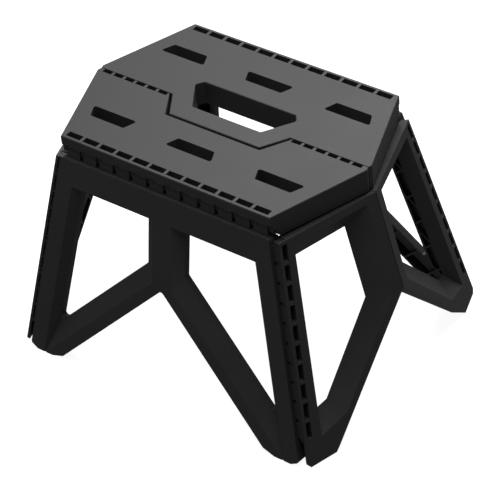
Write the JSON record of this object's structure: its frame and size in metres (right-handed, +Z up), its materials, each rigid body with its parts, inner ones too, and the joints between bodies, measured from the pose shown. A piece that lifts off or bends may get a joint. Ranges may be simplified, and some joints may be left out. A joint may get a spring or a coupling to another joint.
{
  "type": "folding step stool",
  "caption": "Low folding step stool: hexagonal two-part top with a grip hole and handle loop, braced leg frames and hinged end frames on steel pins.",
  "frame": {"origin": "on the floor under the middle of the top, with the stool open and standing", "axes": "+X along the centre seam, the longest way; +Y to the back half that carries the handle loop; +Z up"},
  "size_m": [0.36, 0.2876, 0.2417],
  "materials": {
    "top_plastic": "fine matte grain",
    "leg_plastic": "fine matte grain",
    "hinge_steel": "drawn rod",
    "pad_rubber": "matte"
  },
  "bodies": {
    "top_back": {"top_back": "top_plastic", "leg_pin_back": "hinge_steel"},
    "top_front": {"top_front": "top_plastic", "centre_pin_right": "hinge_steel", "centre_pin_left": "hinge_steel", "leg_pin_front": "hinge_steel"},
    "leg_front": {"leg_front": "leg_plastic", "foot_pad_leg_front_right": "pad_rubber", "foot_pad_leg_front_left": "pad_rubber"},
    "leg_back": {"leg_back": "leg_plastic", "foot_pad_leg_back_right": "pad_rubber", "foot_pad_leg_back_left": "pad_rubber"},
    "end_front_right": {"end_front_right": "leg_plastic", "corner_pin_front_right": "hinge_steel", "fold_pin_right": "hinge_steel", "foot_pad_end_front_right": "pad_rubber"},
    "end_front_left": {"end_front_left": "leg_plastic", "corner_pin_front_left": "hinge_steel", "fold_pin_left": "hinge_steel", "foot_pad_end_front_left": "pad_rubber"},
    "end_back_right": {"end_back_right": "leg_plastic", "corner_pin_back_right": "hinge_steel", "foot_pad_end_back_right": "pad_rubber"},
    "end_back_left": {"end_back_left": "leg_plastic", "corner_pin_back_left": "hinge_steel", "foot_pad_end_back_left": "pad_rubber"}
  },
  "joints": [
    {"name": "centre_fold", "type": "hinge", "parent": "top_back", "child": "top_front", "pos_m": [0, 0, 0.2177], "axis": [1, 0, 0], "range_deg": [0, 180]},
    {"name": "leg_front_fold", "type": "hinge", "parent": "top_front", "child": "leg_front", "pos_m": [0, -0.096, 0.2247], "axis": [-1, 0, 0], "range_deg": [0, 79.9]},
    {"name": "leg_back_fold", "type": "hinge", "parent": "top_back", "child": "leg_back", "pos_m": [0, 0.096, 0.2247], "axis": [1, 0, 0], "range_deg": [0, 79.9]},
    {"name": "end_front_right_fold", "type": "hinge", "parent": "leg_front", "child": "end_front_right", "pos_m": [0.1172, -0.096, 0.2247], "axis": [0.1874, -0.1723, -0.9671], "range_deg": [0, 71]},
    {"name": "end_front_left_fold", "type": "hinge", "parent": "leg_front", "child": "end_front_left", "pos_m": [-0.1172, -0.096, 0.2247], "axis": [0.1874, 0.1723, 0.9671], "range_deg": [0, 71]},
    {"name": "end_back_right_fold", "type": "hinge", "parent": "leg_back", "child": "end_back_right", "pos_m": [0.1172, 0.096, 0.2247], "axis": [-0.1874, -0.1723, 0.9671], "range_deg": [0, 71]},
    {"name": "end_back_left_fold", "type": "hinge", "parent": "leg_back", "child": "end_back_left", "pos_m": [-0.1172, 0.096, 0.2247], "axis": [-0.1874, 0.1723, -0.9671], "range_deg": [0, 71]}
  ],
  "couplings": [
    {"joint": "leg_front_fold", "follows": "centre_fold", "ratio": 0.44389},
    {"joint": "leg_back_fold", "follows": "centre_fold", "ratio": 0.44389},
    {"joint": "end_front_right_fold", "follows": "centre_fold", "ratio": 0.39444},
    {"joint": "end_front_left_fold", "follows": "centre_fold", "ratio": 0.39444},
    {"joint": "end_back_right_fold", "follows": "centre_fold", "ratio": 0.39444},
    {"joint": "end_back_left_fold", "follows": "centre_fold", "ratio": 0.39444}
  ]
}
